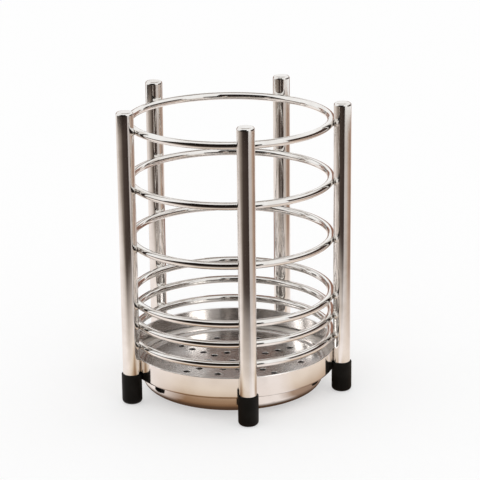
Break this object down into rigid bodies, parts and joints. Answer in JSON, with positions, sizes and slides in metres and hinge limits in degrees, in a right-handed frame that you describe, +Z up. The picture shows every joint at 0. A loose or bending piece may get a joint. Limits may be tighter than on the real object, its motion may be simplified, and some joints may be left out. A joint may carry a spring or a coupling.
{
  "type": "chopstick holder",
  "caption": "Open round wire chopstick holder: polished steel hoops welded inside upright posts on rubber feet, with a stepped drip tray and a lift-out perforated drain plate.",
  "frame": {"origin": "on the axis of the hoops at table level, in the plane of the five feet's undersides", "axes": "+Z up along the axis of the hoops; -Y towards the front post, so +Y is towards the gap between the two back posts and +X is towards the right post"},
  "size_m": [0.1212, 0.1175, 0.1555],
  "materials": {
    "polished_tube": "mirror-polished stainless tube",
    "polished_wire": "mirror-polished stainless wire",
    "polished_sheet": "polished drawn stainless sheet",
    "satin_sheet": "satin-polished stainless sheet",
    "black_rubber": "smooth moulded rubber, slight sheen"
  },
  "bodies": {
    "holder": {"post_front": "polished_tube", "post_right": "polished_tube", "post_back_right": "polished_tube", "post_back_left": "polished_tube", "post_left": "polished_tube", "foot_front": "black_rubber", "foot_right": "black_rubber", "foot_back_right": "black_rubber", "foot_back_left": "black_rubber", "foot_left": "black_rubber", "ring_1": "polished_wire", "ring_2": "polished_wire", "ring_3": "polished_wire", "ring_4": "polished_wire", "ring_5": "polished_wire", "ring_6": "polished_wire", "drip_tray": "polished_sheet"},
    "drain_plate": {"drain_plate": "satin_sheet"}
  },
  "joints": [
    {"name": "drain_plate_lift", "type": "slide", "parent": "holder", "child": "drain_plate", "axis": [0, 0, 1], "range_m": [0, 0.16]}
  ]
}
